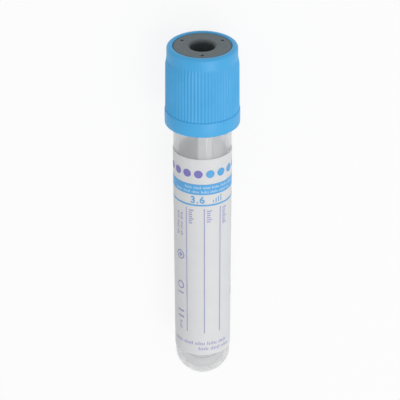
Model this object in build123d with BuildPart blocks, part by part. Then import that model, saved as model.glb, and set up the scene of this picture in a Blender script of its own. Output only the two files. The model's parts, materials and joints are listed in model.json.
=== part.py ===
from build123d import *
from math import asin, atan2, cos, degrees, hypot, radians, sin, tan
import os

# A capped blood collection tube, 13 x 75 mm, lying on its side with its label's face upwards.
# Millimetres. The origin is on the surface it lies on, under the middle of its length.
# +Y runs towards the cap and +Z is up. Heights are measured along the tube from its closed end.

# Tube: one clear plastic moulding with a round closed end
tube_length = 75.0
mouth_diameter = 13.0
draft_angle = 0.33  # degrees that the walls close in towards the round end
tube_wall = 1.0
mouth_round = 0.3

# Cap: a ribbed plastic shell, open at the top, with a plain skirt below its ribs
cap_height = 18.35
cap_overlap = 11.55  # how far the skirt comes down past the tube's mouth
band_wall = 0.8  # round the bore, in the plain band at the top and in the floor between the ribs
band_height = 2.6
band_round = 0.75
lip_width = 0.51  # how far the lip over the stopper's flange comes in from the bore
opening_round = 0.3
skirt_step = 0.5  # how far the skirt stands out from the band
skirt_height = 3.4
skirt_round = 0.25
rib_count = 66
rib_radius = 0.32
rib_slope = 1.6  # height over which a rib's upper end runs down to the band
bore_clearance = 0.45  # between the tube's mouth and the inside of the cap
bead_clearance = 0.15  # between the tube's mouth and the bead that holds the stopper in
bead_height = 0.8
bead_gap = 0.1  # between the bead and the stopper's flange

# Stopper: one rubber moulding, with a needle well above its septum and a hollow below it
stopper_recess = 0.13  # below the cap's top edge
stopper_clearance = 0.05  # between the stopper and the cap, all round
stopper_edge_round = 0.25
flange_thickness = 2.4
plug_depth = 8.0
plug_clearance = 0.35  # between the tube's bore and the plug, at its lower end
plug_chamfer = 0.6
seal_clearance = 0.03  # between the bore at the plug's lower end and each sealing ring's crest
seal_radius = 0.7
seal_heights = (2.0, 5.2)  # from the plug's lower end
well_diameter = 5.3
well_depth = 6.0
well_lip = 0.8
well_floor_round = 0.8
hollow_diameter = 5.8
hollow_depth = 3.8
hollow_round = 1.6
dimple_count = 3
dimple_circle_diameter = 10.1
dimple_diameter = 0.75
dimple_depth = 0.4

# Label: a thin film wrapped round the tube, which leaves a narrow sight strip bare behind it
label_start = 7.3
label_width = 49.9
label_thickness = 0.08
adhesive_gap = 0.02
sight_strip = 2.2

# Citrate solution: the liquid dose, pooled along the lowest side of the bore
pool_depth = 2.9  # at its deepest, near the round end
pool_length = 28.0
pool_front = 4.0  # length of the rounded front that the liquid's surface tension gives it
film_gap = 0.02  # between the liquid and the tube's wall

# Sizes that follow from those above
draft = radians(draft_angle)
mouth_radius = mouth_diameter / 2
end_radius = (mouth_radius - tube_length * tan(draft)) / (1 / cos(draft) - tan(draft))
cap_bottom = tube_length - cap_overlap
cap_top = cap_bottom + cap_height
skirt_top = cap_bottom + skirt_height
rib_top = cap_top - band_height
cap_bore_radius = mouth_radius + bore_clearance
opening_radius = cap_bore_radius - lip_width
band_radius = cap_bore_radius + band_wall
rib_crest_radius = band_radius + rib_radius
skirt_radius = band_radius + skirt_step
bead_radius = mouth_radius + bead_clearance
bead_top = tube_length - bead_gap
bead_bottom = bead_top - bead_height
shoulder = tube_length + flange_thickness
stopper_top = cap_top - stopper_recess
plug_bottom = tube_length - plug_depth
bore_radius = mouth_radius - plug_depth * tan(draft) - tube_wall / cos(draft)
plug_radius = bore_radius - plug_clearance
seal_centre = bore_radius - seal_clearance - seal_radius
flange_radius = cap_bore_radius - stopper_clearance
neck_radius = opening_radius - stopper_clearance
well_radius = well_diameter / 2
well_bottom = stopper_top - well_depth
hollow_radius = hollow_diameter / 2
label_end = label_start + label_width

# How it lies: the round end and the lower edge of the skirt both touch the surface, which holds
# the cap's end a little higher
reach = cap_bottom + skirt_round - end_radius
drop = skirt_radius - skirt_round
tilt = atan2(drop, reach) - asin((end_radius - skirt_round) / hypot(reach, drop))
lying_length = (
    end_radius
    + (cap_top - band_round - end_radius) * cos(tilt)
    + (band_radius - band_round) * sin(tilt)
    + band_round
)
along = Vector(0, cos(tilt), sin(tilt))
end_centre = Vector(0, end_radius - lying_length / 2, end_radius)
closed_end = end_centre - along * end_radius
tube_axis = Axis(closed_end, along)


def across(height):
    """The plane square to the tube at a height, whose -Y side is the label's face."""
    return Plane(origin=closed_end + along * height, x_dir=(1, 0, 0), z_dir=along)


def section(angle=0.0):
    """The half plane out from the axis at an angle: its x is the radius and its y the height."""
    outwards = Vector(1, 0, 0).rotate(Axis((0, 0, 0), along), angle)
    return Plane(origin=closed_end, x_dir=outwards, z_dir=outwards.cross(along))


def wall_radius(height, inset=0.0):
    """The radius of the tapered wall at a height, taken inwards by an inset square to it."""
    return mouth_radius - (tube_length - height) * tan(draft) - inset / cos(draft)


def wall_line(start, end, inset=0.0):
    """A line along the tapered wall from one height to another."""
    return Line((wall_radius(start, inset), start), (wall_radius(end, inset), end))


def round_end(inset=0.0):
    """The quarter circle of the closed end, from the axis up to the tapered wall."""
    return CenterArc((0, end_radius), end_radius - inset, -90, 90 - draft_angle)


# Tube
with BuildPart() as tube:
    with BuildSketch(section()):
        with BuildLine():
            outer_end = round_end()
            outer_wall = Line(outer_end @ 1, (mouth_radius, tube_length))
            inner_end = round_end(tube_wall)
            inner_wall = Line(inner_end @ 1, (wall_radius(tube_length, tube_wall), tube_length))
            Line(outer_wall @ 1, inner_wall @ 1)
            Line(outer_end @ 0, inner_end @ 0)
        make_face()
    revolve(axis=tube_axis)
    rim = tube.faces().sort_by(tube_axis)[-1]
    fillet(rim.edges(), mouth_round)
tube.part.label = "tube"

# Label, which goes round from one side of the sight strip to the other
strip_angle = degrees(sight_strip / wall_radius(label_start))
with BuildPart() as label:
    with BuildSketch(section(90 + strip_angle / 2)):
        with BuildLine():
            back = wall_line(label_start, label_end, -adhesive_gap)
            face = wall_line(label_start, label_end, -adhesive_gap - label_thickness)
            Line(back @ 0, face @ 0)
            Line(back @ 1, face @ 1)
        make_face()
    revolve(axis=tube_axis, revolution_arc=360 - strip_angle)
label.part.label = "label"

# Cap: the ribs first, cut to a slope at their upper ends, and then the shell
with BuildPart() as cap:
    with BuildSketch(across(skirt_top - skirt_round)):
        with PolarLocations(band_radius, rib_count, start_angle=-90):
            Circle(rib_radius)
    extrude(amount=rib_top - skirt_top + skirt_round)
    with BuildSketch(section()):
        Polygon(
            (band_radius, rib_top),
            (rib_crest_radius, rib_top - rib_slope),
            (rib_crest_radius + rib_radius, rib_top),
            align=None,
        )
    revolve(axis=tube_axis, mode=Mode.SUBTRACT)
    with BuildSketch(section()) as shell:
        Polygon(
            (cap_bore_radius, cap_bottom),
            (skirt_radius, cap_bottom),
            (skirt_radius, skirt_top),
            (band_radius, skirt_top),
            (band_radius, cap_top),
            (opening_radius, cap_top),
            (opening_radius, shoulder),
            (cap_bore_radius, shoulder),
            (cap_bore_radius, bead_top),
            (bead_radius, bead_top),
            (bead_radius, bead_top - bead_height / 2),
            (cap_bore_radius, bead_bottom),
            align=None,
        )
        fillet(shell.vertices().group_by(Axis.Y)[0].sort_by(Axis.X)[-1], skirt_round)
        fillet(shell.vertices().group_by(Axis.Y)[-1].sort_by(Axis.X)[-1], band_round)
        fillet(shell.vertices().group_by(Axis.Y)[-1].sort_by(Axis.X)[0], opening_round)
    revolve(axis=tube_axis)
cap.part.label = "cap"

# Stopper
with BuildPart() as rubber_stopper:
    with BuildSketch(section()) as outline:
        Polygon(
            (0, plug_bottom),
            (plug_radius - plug_chamfer, plug_bottom),
            (plug_radius, plug_bottom + plug_chamfer),
            (plug_radius, tube_length),
            (flange_radius, tube_length),
            (flange_radius, shoulder),
            (neck_radius, shoulder),
            (neck_radius, stopper_top),
            (0, stopper_top),
            align=None,
        )
        for height in seal_heights:
            with Locations((seal_centre, plug_bottom + height)):
                Circle(seal_radius)
        fillet(outline.vertices().group_by(Axis.Y)[-1].sort_by(Axis.X)[-1], stopper_edge_round)
    revolve(axis=tube_axis)
    with BuildSketch(section()) as well:
        Polygon(
            (0, well_bottom),
            (well_radius, well_bottom),
            (well_radius, stopper_top),
            (0, stopper_top),
            align=None,
        )
        fillet(well.vertices().group_by(Axis.Y)[0].sort_by(Axis.X)[-1], well_floor_round)
    revolve(axis=tube_axis, mode=Mode.SUBTRACT)
    with BuildSketch(section()) as hollow:
        Polygon(
            (0, plug_bottom),
            (hollow_radius, plug_bottom),
            (hollow_radius, plug_bottom + hollow_depth),
            (0, plug_bottom + hollow_depth),
            align=None,
        )
        fillet(hollow.vertices().group_by(Axis.Y)[-1].sort_by(Axis.X)[-1], hollow_round)
    revolve(axis=tube_axis, mode=Mode.SUBTRACT)
    top_edges = rubber_stopper.faces().sort_by(tube_axis)[-1].edges()
    fillet(top_edges.sort_by(SortBy.RADIUS)[0], well_lip)
    with Locations(across(stopper_top)):
        with PolarLocations(dimple_circle_diameter / 2, dimple_count, start_angle=-90):
            Hole(dimple_diameter / 2, depth=dimple_depth)
rubber_stopper.part.label = "rubber_stopper"

# Citrate solution: the part of the bore below the liquid's level, as far as its rounded front
level = tube_wall + pool_depth
pool_start = closed_end.Y
pool_middle = pool_start + (pool_length - pool_front) / 2
with BuildPart() as citrate_solution:
    with BuildSketch(section()):
        with BuildLine():
            liquid_end = round_end(tube_wall + film_gap)
            liquid_top = (wall_radius(plug_bottom, tube_wall + film_gap), plug_bottom)
            liquid_side = Line(liquid_end @ 1, liquid_top)
            Line(liquid_side @ 1, (0, plug_bottom))
            Line((0, plug_bottom), liquid_end @ 0)
        make_face()
    revolve(axis=tube_axis)
    with BuildSketch(Plane.XY.offset(level)):
        with Locations((0, pool_middle)):
            Rectangle(mouth_diameter, pool_length - pool_front)
        with Locations((0, pool_start + pool_length - pool_front)):
            Ellipse(mouth_radius - tube_wall, pool_front)
    extrude(amount=-level, mode=Mode.INTERSECT)
citrate_solution.part.label = "citrate_solution"

os.makedirs("parts", exist_ok=True)
for piece in (tube, label, cap, rubber_stopper, citrate_solution):
    export_step(piece.part, f"parts/{piece.part.label}.step")
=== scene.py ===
import json
import math

import bmesh
import bpy
from mathutils import Matrix, Vector


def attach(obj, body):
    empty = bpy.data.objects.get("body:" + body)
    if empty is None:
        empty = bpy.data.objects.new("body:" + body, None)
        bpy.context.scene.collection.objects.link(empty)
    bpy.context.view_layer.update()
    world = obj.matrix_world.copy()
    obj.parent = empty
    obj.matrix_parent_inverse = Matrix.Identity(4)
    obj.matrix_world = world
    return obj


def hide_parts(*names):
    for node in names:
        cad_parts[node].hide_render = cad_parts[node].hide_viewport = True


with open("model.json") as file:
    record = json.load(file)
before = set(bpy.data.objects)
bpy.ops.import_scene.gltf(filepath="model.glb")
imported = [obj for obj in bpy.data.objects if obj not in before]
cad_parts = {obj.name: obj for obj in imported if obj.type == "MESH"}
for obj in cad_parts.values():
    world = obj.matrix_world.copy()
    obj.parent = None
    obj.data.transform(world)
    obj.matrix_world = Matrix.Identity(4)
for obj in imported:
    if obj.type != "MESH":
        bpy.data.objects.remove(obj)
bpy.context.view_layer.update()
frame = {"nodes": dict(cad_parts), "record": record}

# A capped blood collection tube lying on a bench, with its label's face upwards.
# Pieces are modelled in millimetres as if the tube stood up: its closed end at the origin, its
# axis along +Z and the middle of the label's face towards -Y. toBench lays them where the frame
# has the tube. Angles round the tube are in degrees from the label's face, positive to the right.

scene = bpy.context.scene
scene.view_settings.view_transform = "Standard"

# the round end rests on the bench, so its centre is its own radius above it
mounts = {mount["name"]: mount for mount in frame["record"]["mounts"]}
along = Vector(mounts["needle_well"]["axis"]).normalized()
endCentre = Vector(mounts["rack_seat"]["pos_m"])
closedEnd = endCentre - along * endCentre.z
sideways = Vector((1, 0, 0))
behind = along.cross(sideways)
turned = Matrix((sideways, behind, along)).transposed().to_4x4()
toBench = Matrix.Translation(closedEnd) @ turned @ Matrix.Scale(0.001, 4)

tubeSizes = {
    "length": 75.0,
    "mouthRadius": 6.5,
    "endRadius": endCentre.z * 1000,
    "draft": math.radians(0.33),
    "wall": 1.0,
    "rimRound": (0.3, 4),  # a radius and its number of segments, as for each round below
    "supportHeights": (6.4, 40.0, 74.5),
    "turns": 192,
    "endSteps": 24,
    "hazeHeights": (25.0, 52.0),  # between which the wall grows hazier towards the mouth
}

labelSizes = {
    "start": 7.3,
    "outside": 0.1,  # from the tube's wall to the label's face
    "sightStrip": 2.2,
    "through": 0.35,  # how much of the light behind it the film lets through
    "thinThrough": 0.97,  # and where it is thinner
    # where the thinner part starts, in metres: to the right of the axis, behind it and up it
    "thinFrom": (0.0020, 0.0028, 0.0485),
    "thinFade": (0.0008, 0.0016, 0.0010),
}


def wallRadius(height, outwards=0.0):
    slope = (tubeSizes["length"] - height) * math.tan(tubeSizes["draft"])
    return tubeSizes["mouthRadius"] - slope + outwards / math.cos(tubeSizes["draft"])


# Meshes

mergeDistance = 0.0005


def meshPiece(name, shape, material, body, sharpAngle, stands=None):
    bmesh.ops.transform(shape, matrix=toBench, verts=shape.verts)
    bmesh.ops.recalc_face_normals(shape, faces=shape.faces)
    mesh = bpy.data.meshes.new(name)
    shape.to_mesh(mesh)
    shape.free()
    mesh.shade_smooth()
    mesh.set_sharp_from_angle(angle=math.radians(sharpAngle))
    mesh.materials.append(material)
    piece = bpy.data.objects.new(name, mesh)
    scene.collection.objects.link(piece)
    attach(piece, body)
    if stands:
        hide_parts(stands)
    print(f"{name}: {len(mesh.polygons)} faces")


def profilePoints(shape, points):
    return [shape.verts.new((radius, 0, height)) for radius, height in points]


def joinPoints(shape, points, closed=False):
    ends = points[1:] + points[:1] if closed else points[1:]
    for start, end in zip(points, ends):
        shape.edges.new((start, end))


def roundPoint(shape, point, radius, segments):
    bmesh.ops.bevel(
        shape, geom=[point], offset=radius, offset_type="OFFSET", segments=segments,
        profile=0.5, affect="VERTICES", material=-1,
    )


def spinProfile(shape, turns):
    bmesh.ops.spin(
        shape, geom=shape.verts[:] + shape.edges[:], cent=(0, 0, 0), axis=(0, 0, 1),
        angle=math.tau, steps=turns, use_merge=True,
    )
    bmesh.ops.remove_doubles(shape, verts=shape.verts, dist=mergeDistance)
    bmesh.ops.dissolve_degenerate(shape, dist=mergeDistance, edges=shape.edges)


# Nodes that the materials share


def newMaterial(name):
    material = bpy.data.materials.new(name)
    material.use_nodes = True
    nodes = material.node_tree.nodes
    nodes.clear()
    output = nodes.new("ShaderNodeOutputMaterial")
    return material, nodes, material.node_tree.links, output


def principled(nodes, **values):
    shader = nodes.new("ShaderNodeBsdfPrincipled")
    for name, value in values.items():
        shader.inputs[name.replace("_", " ")].default_value = value
    return shader


def objectPlace(nodes):
    return nodes.new("ShaderNodeTexCoord").outputs["Object"]


def noise(nodes, links, scale, detail=2.0):
    texture = nodes.new("ShaderNodeTexNoise")
    texture.inputs["Scale"].default_value = scale
    texture.inputs["Detail"].default_value = detail
    links.new(objectPlace(nodes), texture.inputs["Vector"])
    return texture.outputs["Fac"]


def colourBetween(nodes, links, factor, colours, low=0.35, high=0.65):
    ramp = nodes.new("ShaderNodeValToRGB")
    for element, position, colour in zip(ramp.color_ramp.elements, (low, high), colours):
        element.position = position
        element.color = (*colour, 1)
    links.new(factor, ramp.inputs["Fac"])
    return ramp.outputs["Color"]


def valueBetween(nodes, links, factor, first, second, start=0.0, end=1.0):
    # the first value up to a factor of start, and the second from a factor of end
    spread = nodes.new("ShaderNodeMapRange")
    spread.inputs["From Min"].default_value = start
    spread.inputs["From Max"].default_value = end
    spread.inputs["To Min"].default_value = first
    spread.inputs["To Max"].default_value = second
    links.new(factor, spread.inputs["Value"])
    return spread.outputs["Result"]


def bothValues(nodes, links, operation, first, second):
    node = nodes.new("ShaderNodeMath")
    node.operation = operation
    links.new(first, node.inputs[0])
    links.new(second, node.inputs[1])
    return node.outputs["Value"]


def vectorWith(nodes, links, operation, vector, other):
    node = nodes.new("ShaderNodeVectorMath")
    node.operation = operation
    node.inputs[1].default_value = other
    links.new(vector, node.inputs[0])
    return node


def fromClosedEnd(nodes, links):
    return vectorWith(nodes, links, "SUBTRACT", objectPlace(nodes), closedEnd).outputs["Vector"]


def fromAxis(nodes, links):
    # how far a point is from the tube's axis, in metres
    across = vectorWith(nodes, links, "CROSS_PRODUCT", fromClosedEnd(nodes, links), along)
    distance = nodes.new("ShaderNodeVectorMath")
    distance.operation = "LENGTH"
    links.new(across.outputs["Vector"], distance.inputs[0])
    return distance.outputs["Value"]


def pastPlane(nodes, links, direction, start, fade):
    # 0 up to a plane square to a direction, start metres from the closed end, then 1 after a fade
    reach = vectorWith(nodes, links, "DOT_PRODUCT", fromClosedEnd(nodes, links), direction)
    return valueBetween(nodes, links, reach.outputs["Value"], 0.0, 1.0, start, start + fade)


def bump(nodes, links, height, strength, distance):
    node = nodes.new("ShaderNodeBump")
    node.inputs["Strength"].default_value = strength
    node.inputs["Distance"].default_value = distance
    links.new(height, node.inputs["Height"])
    return node.outputs["Normal"]


# Materials. Most colours are a pair, for the dark and the light parts of a faint pattern.

finishes = {
    "capBlue": ((0.051, 0.390, 0.750), (0.061, 0.410, 0.780)),
    "rubberFace": ((0.119, 0.144, 0.152), (0.148, 0.175, 0.184)),
    # painted shade: a darker rubber colour for the inside of the needle well
    "rubberWellShade": ((0.050, 0.060, 0.064), (0.064, 0.075, 0.080)),
    "wellShadeReach": (0.0026, 0.0033),  # metres from the axis, between which the painted shade inside the well ends
    "filmWhite": ((0.905, 0.912, 0.920), (0.922, 0.930, 0.938)),
    "filmThrough": (0.93, 0.94, 0.95),
    "inkPaler": 0.08,  # how far the ink's light parts go towards the film's grey
    "inkGround": 0.75,
    "clearRipple": (0.6, 1.4),  # how much a clear piece's roughness varies
}


def clearMaterial(name, colour, ior, roughness, haze=0.0, mouthHaze=None, absorbs=None):
    # lamps shine through it, so what stands inside or behind is lit
    material, nodes, links, output = newMaterial(name)
    body = principled(nodes, Base_Color=(*colour, 1), IOR=ior, Transmission_Weight=1.0 - haze)
    if mouthHaze:
        apart = nodes.new("ShaderNodeSeparateXYZ")
        links.new(objectPlace(nodes), apart.inputs["Vector"])
        low, high = [(toBench @ Vector((0, 0, z))).y for z in tubeSizes["hazeHeights"]]
        links.new(valueBetween(nodes, links, apart.outputs["Y"], 1.0 - haze, 1.0 - mouthHaze,
                               low, high), body.inputs["Transmission Weight"])
    smoother, rougher = [roughness * share for share in finishes["clearRipple"]]
    links.new(valueBetween(nodes, links, noise(nodes, links, 260.0, 1.0), smoother, rougher),
              body.inputs["Roughness"])
    through = nodes.new("ShaderNodeBsdfTransparent")
    through.inputs["Color"].default_value = (*[c ** 0.5 for c in colour], 1)
    ray = nodes.new("ShaderNodeLightPath")
    mix = nodes.new("ShaderNodeMixShader")
    links.new(ray.outputs["Is Shadow Ray"], mix.inputs["Fac"])
    links.new(body.outputs["BSDF"], mix.inputs[1])
    links.new(through.outputs["BSDF"], mix.inputs[2])
    links.new(mix.outputs["Shader"], output.inputs["Surface"])
    if absorbs:
        inside = nodes.new("ShaderNodeVolumeAbsorption")
        inside.inputs["Color"].default_value = (*absorbs["colour"], 1)
        inside.inputs["Density"].default_value = absorbs["density"]
        links.new(inside.outputs["Volume"], output.inputs["Volume"])
    return material


def capMaterial():
    material, nodes, links, output = newMaterial("polyethyleneBlue")
    body = principled(nodes, Specular_IOR_Level=0.5, IOR=1.5)
    links.new(colourBetween(nodes, links, noise(nodes, links, 180.0), finishes["capBlue"]),
              body.inputs["Base Color"])
    links.new(valueBetween(nodes, links, noise(nodes, links, 900.0), 0.40, 0.50),
              body.inputs["Roughness"])
    grain = noise(nodes, links, 5200.0, 3.0)
    links.new(bump(nodes, links, grain, 0.25, 0.00002), body.inputs["Normal"])
    links.new(body.outputs["BSDF"], output.inputs["Surface"])
    return material


def rubberMaterial():
    # the needle well's inside is painted darker than the face: painted shade in the recess
    material, nodes, links, output = newMaterial("butylRubberGrey")
    body = principled(nodes, Specular_IOR_Level=0.35, IOR=1.5)
    speckle = noise(nodes, links, 2600.0, 4.0)
    paint = nodes.new("ShaderNodeMix")
    paint.data_type = "RGBA"
    # painted shade: the rubber turns darker inwards from the well's rim, by distance from the axis
    links.new(valueBetween(nodes, links, fromAxis(nodes, links), 0.0, 1.0,
                           *finishes["wellShadeReach"]), paint.inputs["Factor"])
    links.new(colourBetween(nodes, links, speckle, finishes["rubberWellShade"]), paint.inputs["A"])
    links.new(colourBetween(nodes, links, speckle, finishes["rubberFace"]), paint.inputs["B"])
    links.new(paint.outputs["Result"], body.inputs["Base Color"])
    links.new(valueBetween(nodes, links, noise(nodes, links, 700.0), 0.50, 0.68),
              body.inputs["Roughness"])
    links.new(bump(nodes, links, speckle, 0.4, 0.00003), body.inputs["Normal"])
    links.new(body.outputs["BSDF"], output.inputs["Surface"])
    return material


def filmMaterial():
    # a white film that lets some of the light behind it through, and more of it where it is
    # thinner, above the band, round to the right of the sight strip
    material, nodes, links, output = newMaterial("labelFilmWhite")
    body = principled(nodes, Specular_IOR_Level=0.4, IOR=1.5)
    links.new(colourBetween(nodes, links, noise(nodes, links, 420.0, 3.0), finishes["filmWhite"]),
              body.inputs["Base Color"])
    links.new(valueBetween(nodes, links, noise(nodes, links, 1500.0), 0.38, 0.50),
              body.inputs["Roughness"])
    glow = nodes.new("ShaderNodeBsdfTranslucent")
    glow.inputs["Color"].default_value = (*finishes["filmThrough"], 1)
    toRight, toBack, upwards = [
        pastPlane(nodes, links, direction, start, fade)
        for direction, start, fade in zip((sideways, behind, along), labelSizes["thinFrom"],
                                          labelSizes["thinFade"])
    ]
    backRight = bothValues(nodes, links, "MULTIPLY", toRight, toBack)
    thinner = bothValues(nodes, links, "MULTIPLY", backRight, upwards)
    mix = nodes.new("ShaderNodeMixShader")
    links.new(valueBetween(nodes, links, thinner, labelSizes["through"],
                           labelSizes["thinThrough"]), mix.inputs["Fac"])
    links.new(body.outputs["BSDF"], mix.inputs[1])
    links.new(glow.outputs["BSDF"], mix.inputs[2])
    links.new(mix.outputs["Shader"], output.inputs["Surface"])
    return material


def inkMaterial(name, colour):
    material, nodes, links, output = newMaterial(name)
    body = principled(nodes, Specular_IOR_Level=0.4, IOR=1.5)
    cover = noise(nodes, links, 3000.0)
    pale = [c + (finishes["inkGround"] - c) * finishes["inkPaler"] for c in colour]
    links.new(colourBetween(nodes, links, cover, (colour, pale)), body.inputs["Base Color"])
    links.new(valueBetween(nodes, links, cover, 0.36, 0.5), body.inputs["Roughness"])
    links.new(body.outputs["BSDF"], output.inputs["Surface"])
    return material


clearPlastic = clearMaterial(
    "clearPlastic", (0.955, 0.965, 0.985), 1.57, 0.04, haze=0.15, mouthHaze=0.23,
    absorbs={"colour": (0.5, 0.5, 0.45), "density": 220.0},
)
clearLiquid = clearMaterial("citrateSolution", (0.97, 0.975, 0.97), 1.34, 0.01)
capPlastic = capMaterial()
stopperRubber = rubberMaterial()
labelFilm = filmMaterial()
blueInk = inkMaterial("inkSkyBlue", (0.070, 0.370, 0.740))
violetInk = inkMaterial("inkViolet", (0.185, 0.165, 0.500))
fineInk = inkMaterial("inkVioletPale", (0.300, 0.310, 0.590))
paleInk = inkMaterial("inkPaleBlue", (0.560, 0.740, 0.880))
greyInk = inkMaterial("inkGrey", (0.500, 0.510, 0.530))
print("materials made")


def makeTube():
    shape = bmesh.new()
    size = tubeSizes
    centre = (0, 0, size["endRadius"])
    ends = []
    for start in (0.0, size["wall"]):
        bottom = shape.verts.new((0, 0, start))
        arc = bmesh.ops.spin(
            shape, geom=[bottom], cent=centre, axis=(0, -1, 0),
            angle=math.pi / 2 - size["draft"], steps=size["endSteps"],
        )
        ends.append(next(item for item in arc["geom_last"] if isinstance(item, bmesh.types.BMVert)))
    rim = profilePoints(shape, [
        (size["mouthRadius"], size["length"]),
        (wallRadius(size["length"], -size["wall"]), size["length"]),
    ])
    outer, inner = [  # rings on the wall, which keep its shading straight between its ends
        profilePoints(shape, [(wallRadius(z, -inset), z) for z in size["supportHeights"]])
        for inset in (0.0, size["wall"])
    ]
    joinPoints(shape, [ends[0], *outer, *rim, *reversed(inner), ends[1]])
    for point in rim:
        roundPoint(shape, point, *size["rimRound"])
    spinProfile(shape, size["turns"])
    meshPiece("tubeShell", shape, clearPlastic, "tube", 40, stands="tube")


makeTube()


capSizes = {
    "bottom": 63.45,
    "skirtTop": 66.85,
    "ribTop": 79.2,
    "top": 81.8,
    "skirtRadius": 8.25,
    "bandRadius": 7.75,
    "crestRadius": 8.07,
    "openingRadius": 6.44,
    "boreRadius": 6.95,
    "beadRadius": 6.65,
    "shoulder": 77.4,
    "beadTop": 74.9,
    "beadHeight": 0.8,
    "skirtRound": (0.25, 5),
    "skirtTopRound": (0.2, 4),
    "topRound": (0.75, 7),
    "openingRound": (0.3, 4),
    "ribs": 66,
    "stepsPerRib": 10,
    "ribDepth": 0.16,
    "ribWidening": 0.7,  # under 1, a crest is wider than a groove
    "ribFade": 1.8,  # height over which the ribs' crests run down to the band
    "grooveFade": 0.45,  # and over which the grooves between them end
    "ribRings": (1.8, 1.35, 0.9, 0.45, 0.2, 0.0),  # below the ribs' upper ends
    "ribFoot": 0.25,  # height of the lowest ring above the skirt
    "ribDraft": 0.05,  # how much further out the ribs stand at their lower ends
    "slack": 0.01,  # for telling the ribs' points from the band's
}


def makeCap():
    shape = bmesh.new()
    size = capSizes
    points = profilePoints(shape, [
        (size["boreRadius"], size["bottom"]),
        (size["skirtRadius"], size["bottom"]),
        (size["skirtRadius"], size["skirtTop"]),
        (size["bandRadius"], size["skirtTop"]),
        (size["bandRadius"], size["skirtTop"] + size["ribFoot"]),
        *[(size["bandRadius"], size["ribTop"] - below) for below in size["ribRings"]],
        (size["bandRadius"], size["top"]),
        (size["openingRadius"], size["top"]),
        (size["openingRadius"], size["shoulder"]),
        (size["boreRadius"], size["shoulder"]),
        (size["boreRadius"], size["beadTop"]),
        (size["beadRadius"], size["beadTop"]),
        (size["beadRadius"], size["beadTop"] - size["beadHeight"] / 2),
        (size["boreRadius"], size["beadTop"] - size["beadHeight"]),
    ])
    joinPoints(shape, points, closed=True)
    bandTop = 5 + len(size["ribRings"])
    roundPoint(shape, points[1], *size["skirtRound"])
    roundPoint(shape, points[2], *size["skirtTopRound"])
    roundPoint(shape, points[bandTop], *size["topRound"])
    roundPoint(shape, points[bandTop + 1], *size["openingRound"])
    spinProfile(shape, size["ribs"] * size["stepsPerRib"])
    raiseRibs(shape)
    meshPiece("capShell", shape, capPlastic, "closure", 50, stands="cap")


def raiseRibs(shape):
    # moves the points of the plain wall out to the crests and in to the grooves
    size = capSizes
    ribLift = size["crestRadius"] - size["bandRadius"]
    ribLength = size["ribTop"] - size["skirtTop"]
    for vertex in shape.verts:
        radius = math.hypot(vertex.co.x, vertex.co.y)
        below = size["ribTop"] - vertex.co.z
        onWall = abs(radius - size["bandRadius"]) < size["slack"] / 10
        if not (onWall and size["slack"] < below < ribLength + size["slack"]):
            continue
        fade = min(1.0, below / size["ribFade"])
        groove = min(1.0, below / size["grooveFade"])
        draft = size["ribDraft"] * (2 * below / ribLength - 1)
        angle = math.atan2(vertex.co.x, -vertex.co.y)
        wave = (0.5 + 0.5 * math.cos(size["ribs"] * angle)) ** size["ribWidening"]
        lift = fade * (ribLift + draft) - groove * size["ribDepth"] * (1 - wave)
        vertex.co.x *= (radius + lift) / radius
        vertex.co.y *= (radius + lift) / radius


makeCap()


liquidSizes = {
    "gap": 0.02,  # between the frame's liquid and the wall
    "overlap": 0.05,  # into the wall, so that no air shows between them
}


def makeLiquid():
    shape = bmesh.new()
    shape.from_mesh(frame["nodes"]["citrate_solution"].data)
    bmesh.ops.remove_doubles(shape, verts=shape.verts, dist=0.000001)  # in metres
    bmesh.ops.transform(shape, matrix=toBench.inverted(), verts=shape.verts)
    for vertex in shape.verts:
        below = min(vertex.co.z - tubeSizes["endRadius"], 0.0)
        out = Vector((vertex.co.x, vertex.co.y, below))
        vertex.co += out.normalized() * (liquidSizes["overlap"] + liquidSizes["gap"])
    meshPiece("citratePool", shape, clearLiquid, "tube", 30,
              stands="citrate_solution")


makeLiquid()


# Print on the label. It is drawn flat, x round the tube and y up it, and then bent round.

printSizes = {
    "radius": 6.35,  # at which the flat print is drawn
    "lift": 0.004,
    "thickness": 0.012,
    "bendStep": 0.3,
    "dots": 4,
    "dotStep": 23.5,  # degrees
    "dotHeight": 53.6,
    "dotRadius": 0.95,
    # a row of small lettering is plain strokes, with these shares of the lettering's size
    "strokeHeights": (1.0, 0.7, 0.7, 0.7, 1.0, 0.7, 0.7),
    "strokeWidth": 0.2,
    "strokeGap": 0.27,
    "wordGap": 0.75,
}


def flatX(angle):
    return math.radians(angle) * printSizes["radius"]


def bar(shape, x, y, width, height):
    bmesh.ops.create_grid(
        shape, x_segments=1, y_segments=1, size=0.5,
        matrix=Matrix.Translation((x, y, 0)) @ Matrix.Diagonal((width, height, 1, 1)),
    )


def disc(shape, x, y, radius, segments=24):
    bmesh.ops.create_circle(shape, cap_ends=True, segments=segments, radius=radius,
                            matrix=Matrix.Translation((x, y, 0)))


def ring(shape, x, y, radius, width, segments=24):
    edges = []
    for size in (radius, radius - width):
        made = bmesh.ops.create_circle(shape, cap_ends=False, segments=segments, radius=size,
                                       matrix=Matrix.Translation((x, y, 0)))
        edges += {edge for vertex in made["verts"] for edge in vertex.link_edges}
    bmesh.ops.bridge_loops(shape, edges=edges)


def dotRow(shape, firstAngle):
    size = printSizes
    for number in range(size["dots"]):
        disc(shape, flatX(firstAngle + size["dotStep"] * number), size["dotHeight"],
             size["dotRadius"])


def strokeRow(shape, start, end, across, glyph, upright=False, group=6):
    # upright rows run down the tube, and group is the number of strokes in a word
    heights = printSizes["strokeHeights"]
    width = printSizes["strokeWidth"] * glyph
    at, count = start, 0
    while at < end:
        height = heights[count % len(heights)] * glyph
        middle = across - (glyph - height) / 2
        if upright:
            bar(shape, middle, -at - width / 2, height, width)
        else:
            bar(shape, at + width / 2, middle, width, height)
        count += 1
        gap = printSizes["wordGap" if count % group == 0 else "strokeGap"]
        at += width + gap * glyph


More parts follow.
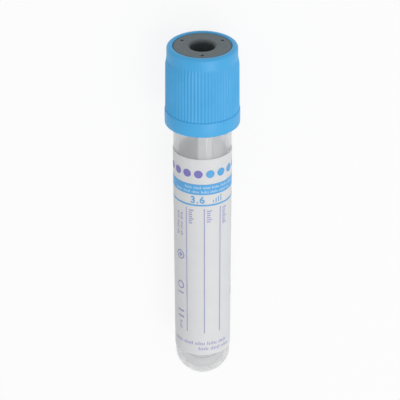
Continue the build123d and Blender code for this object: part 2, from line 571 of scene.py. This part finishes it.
def wrapPrint(name, shape, material):
    # cuts the flat print into narrow strips, gives it its thickness and bends it round the label
    size = printSizes
    widest = max(abs(vertex.co.x) for vertex in shape.verts)
    steps = int(widest / size["bendStep"]) + 1
    for step in range(-steps, steps + 1):
        bmesh.ops.bisect_plane(
            shape, geom=shape.verts[:] + shape.edges[:] + shape.faces[:], dist=0.00001,
            plane_co=(step * size["bendStep"], 0, 0), plane_no=(1, 0, 0),
        )
    raised = bmesh.ops.extrude_face_region(shape, geom=shape.faces[:])["geom"]
    bmesh.ops.translate(shape, vec=(0, 0, size["thickness"]),
                        verts=[item for item in raised if isinstance(item, bmesh.types.BMVert)])
    for vertex in shape.verts:
        angle = vertex.co.x / size["radius"]
        height = vertex.co.y
        radius = wallRadius(height, labelSizes["outside"] + size["lift"] + vertex.co.z)
        vertex.co = (radius * math.sin(angle), -radius * math.cos(angle), height)
    meshPiece(name, shape, material, "tube", 30)


def labelReach():
    # the angle from the label's face to its edge beside the sight strip
    return 180 - math.degrees(labelSizes["sightStrip"] / wallRadius(labelSizes["start"])) / 2


blueSizes = {
    "bandBottom": 48.5,
    "bandTop": 51.07,
    "ruleHeight": 45.88,
    "ruleWidth": 0.38,
    "firstDot": 15.5,  # degrees
    "ticks": 4,  # a small scale, whose ticks step up and grow to the right
    "tickAngle": 22.0,
    "tickStep": (0.62, 0.18),
    "tickHeight": 46.75,
    "tickWidth": 0.2,
    "tickLength": 0.6,
    "tickGrowth": 0.36,
}


def printBlue():
    shape = bmesh.new()
    size = blueSizes
    whole = 2 * flatX(labelReach())
    bar(shape, 0, (size["bandBottom"] + size["bandTop"]) / 2, whole,
        size["bandTop"] - size["bandBottom"])
    bar(shape, 0, size["ruleHeight"], whole, size["ruleWidth"])
    dotRow(shape, size["firstDot"])
    stepX, stepY = size["tickStep"]
    for tick in range(size["ticks"]):
        bar(shape, flatX(size["tickAngle"]) + stepX * tick, size["tickHeight"] + stepY * tick,
            size["tickWidth"], size["tickLength"] + size["tickGrowth"] * tick)
    wrapPrint("printBlue", shape, blueInk)


numberSizes = {
    "size": 2.35,
    "weight": 0.042,
    "spacing": 1.15,
    "angle": -10.0,
    "height": 46.45,
}


def printNumber():
    size = numberSizes
    text = bpy.data.curves.new("volumeNumber", "FONT")
    text.body = "3.6"
    text.size = size["size"]
    text.offset = size["weight"]
    text.align_x = "CENTER"
    text.space_character = size["spacing"]
    writing = bpy.data.objects.new("volumeNumber", text)
    scene.collection.objects.link(writing)
    bpy.context.view_layer.update()
    written = writing.evaluated_get(bpy.context.evaluated_depsgraph_get())
    shape = bmesh.new()
    shape.from_mesh(bpy.data.meshes.new_from_object(written))
    bpy.data.objects.remove(writing)
    bmesh.ops.remove_doubles(shape, verts=shape.verts, dist=mergeDistance)
    bmesh.ops.translate(shape, vec=(flatX(size["angle"]), size["height"], 0), verts=shape.verts)
    wrapPrint("printNumber", shape, blueInk)


violetSizes = {"firstDot": -78.5}


def printViolet():
    shape = bmesh.new()
    dotRow(shape, violetSizes["firstDot"])
    wrapPrint("printViolet", shape, violetInk)


formSizes = {
    "lineAngles": (-33.5, 3.7, 37.3),
    "lineBottom": 13.05,
    "lineTop": 45.0,
    "lineWidth": 0.2,
    # the headings beside the lines, each with its angle, top and bottom
    "headings": ((-23.0, 44.6, 41.2), (13.9, 44.5, 41.6), (48.0, 44.6, 40.6)),
    "headingSize": 1.15,
    "headingGroup": 9,
    # the column of words and plain symbols at the left, from its top down
    "columnAngle": -50.0,
    "columnWords": (43.2, 37.4),  # top and bottom
    "columnShift": 0.55,
    "columnSize": 0.7,
    "rings": ((32.4, 1.15), (24.6, 1.0)),  # a height and a radius each
    "ringWidth": 0.28,
    "ringDot": 0.45,  # in the first ring
    "bars": ((22.6, 0.3), (17.9, 0.45), (16.4, 0.45)),  # a height and a thickness each
    "barLength": 1.9,
    "lastWords": (15.2, 13.4),
    "lastSize": 0.9,
    # the rest: rows along the lower edge and a mark at the right
    "footRows": ((-66.0, 54.0, 10.3), (-8.0, 64.0, 8.95)),  # two angles and a height each
    "footSize": 0.85,
    "sideMark": (80.0, 21.5, 0.3, 2.0),  # an angle, a height, a width and a length
}


def printForm():
    shape = bmesh.new()
    size = formSizes
    for angle in size["lineAngles"]:
        bar(shape, flatX(angle), (size["lineBottom"] + size["lineTop"]) / 2, size["lineWidth"],
            size["lineTop"] - size["lineBottom"])
    for angle, top, bottom in size["headings"]:
        strokeRow(shape, -top, -bottom, flatX(angle), size["headingSize"], upright=True,
                  group=size["headingGroup"])
    column = flatX(size["columnAngle"])
    top, bottom = size["columnWords"]
    for shift in (-size["columnShift"], size["columnShift"]):
        strokeRow(shape, -top, -bottom, column + shift, size["columnSize"], upright=True)
    for height, radius in size["rings"]:
        ring(shape, column, height, radius, size["ringWidth"])
    disc(shape, column, size["rings"][0][0], size["ringDot"])
    for height, thickness in size["bars"]:
        bar(shape, column, height, size["barLength"], thickness)
    top, bottom = size["lastWords"]
    strokeRow(shape, -top, -bottom, column, size["lastSize"], upright=True)
    for left, right, height in size["footRows"]:
        strokeRow(shape, flatX(left), flatX(right), height, size["footSize"])
    angle, height, width, length = size["sideMark"]
    bar(shape, flatX(angle), height, width, length)
    wrapPrint("printForm", shape, fineInk)


paleSizes = {
    "rows": ((-36.0, 74.0, 50.3), (-58.0, 60.0, 49.25)),  # two angles and a height each
    "size": 0.62,
}


def printPale():
    # lettering on the blue band, raised by the band's own thickness
    shape = bmesh.new()
    for left, right, height in paleSizes["rows"]:
        strokeRow(shape, flatX(left), flatX(right), height, paleSizes["size"])
    bmesh.ops.translate(shape, vec=(0, 0, printSizes["thickness"]), verts=shape.verts)
    wrapPrint("printPale", shape, paleInk)


fillMarkSizes = {
    "angle": 65.0,
    "height": 57.75,
    "length": 2.1,
    "width": 0.34,
}


def makeFillMark():
    # a short mark on the tube's wall just above the label
    shape = bmesh.new()
    size = fillMarkSizes
    bar(shape, flatX(size["angle"]), size["height"], size["length"], size["width"])
    wrapPrint("fillMark", shape, greyInk)


printBlue()
printNumber()
printViolet()
printForm()
printPale()
makeFillMark()


# The frame's own label and stopper keep their shapes and get their finishes

for node, material in (("label", labelFilm), ("rubber_stopper", stopperRubber)):
    for slot in frame["nodes"][node].material_slots:
        slot.material = material
print("label and stopper finished")


cameraSizes = {
    "distance": 600.0,
    "elevation": math.radians(28.873),
    "orbitHeight": 40.0,
    "aim": (-0.55, 0, 43.8),
    "lens": 242.8,
    "roll": math.radians(-0.094),
}


def makeCamera():
    size = cameraSizes
    lens = bpy.data.cameras.new("camera")
    lens.sensor_width = 36.0
    lens.lens = size["lens"]
    lens.clip_start, lens.clip_end = 0.01, 10.0
    camera = bpy.data.objects.new("camera", lens)
    scene.collection.objects.link(camera)
    lift = size["elevation"]
    stand = Vector((0, -math.cos(lift), math.sin(lift))) * size["distance"]
    place = toBench @ (stand + Vector((0, 0, size["orbitHeight"])))
    ahead = (toBench @ Vector(size["aim"]) - place).normalized()
    right = ahead.cross(along).normalized()
    facing = Matrix((right, right.cross(ahead), -ahead)).transposed()
    camera.matrix_world = (Matrix.Translation(place) @ facing.to_4x4()
                           @ Matrix.Rotation(size["roll"], 4, "Z"))
    scene.camera = camera


makeCamera()


studio = {
    "floorRadius": 4.0,
    "floorColour": 0.85,
    "floorGlow": 0.86,  # how much of the floor's own white is seen, and the rest is its lit colour
    "worldLight": 0.67,
    "worldSeen": 0.88,
    "key": {"energy": 2.5, "size": (0.60, 0.50), "direction": (0.42, -0.18, 0.88), "distance": 0.8},
}


def seenByCamera(nodes, links):
    # 1 for the rays that show the floor or the world itself, straight or through the clear pieces
    ray = nodes.new("ShaderNodeLightPath")
    total = ray.outputs["Is Camera Ray"]
    for kind in ("Is Glossy Ray", "Is Transmission Ray"):
        total = bothValues(nodes, links, "MAXIMUM", total, ray.outputs[kind])
    return total


def makeFloor():
    shape = bmesh.new()
    bmesh.ops.create_circle(shape, cap_ends=True, segments=64, radius=studio["floorRadius"])
    mesh = bpy.data.meshes.new("floor")
    shape.to_mesh(mesh)
    shape.free()
    floor = bpy.data.objects.new("floor", mesh)
    scene.collection.objects.link(floor)
    material, nodes, links, output = newMaterial("floorWhite")
    paint = nodes.new("ShaderNodeBsdfDiffuse")
    paint.inputs["Color"].default_value = (*[studio["floorColour"]] * 3, 1)
    glow = nodes.new("ShaderNodeEmission")
    both = nodes.new("ShaderNodeMixShader")
    seen = seenByCamera(nodes, links)
    links.new(valueBetween(nodes, links, seen, 0.0, studio["floorGlow"]), both.inputs["Fac"])
    links.new(paint.outputs["BSDF"], both.inputs[1])
    links.new(glow.outputs["Emission"], both.inputs[2])
    links.new(both.outputs["Shader"], output.inputs["Surface"])
    mesh.materials.append(material)


def makeWorld():
    world = bpy.data.worlds.new("world")
    scene.world = world
    world.use_nodes = True
    nodes, links = world.node_tree.nodes, world.node_tree.links
    nodes.clear()
    output = nodes.new("ShaderNodeOutputWorld")
    sky = nodes.new("ShaderNodeBackground")
    sky.inputs["Color"].default_value = (1, 1, 1, 1)
    seen = seenByCamera(nodes, links)
    links.new(valueBetween(nodes, links, seen, studio["worldLight"], studio["worldSeen"]),
              sky.inputs["Strength"])
    links.new(sky.outputs["Background"], output.inputs["Surface"])


def makeLamp(name):
    size = studio[name]
    lamp = bpy.data.lights.new(name, "AREA")
    lamp.shape = "RECTANGLE"
    lamp.size, lamp.size_y = size["size"]
    lamp.energy = size["energy"]
    towards = Vector(size["direction"]).normalized()
    holder = bpy.data.objects.new(name, lamp)
    scene.collection.objects.link(holder)
    holder.location = towards * size["distance"]
    holder.rotation_mode = "QUATERNION"
    holder.rotation_quaternion = towards.to_track_quat("Z", "Y")


makeFloor()
makeWorld()
makeLamp("key")
print("camera, floor and lamps placed")
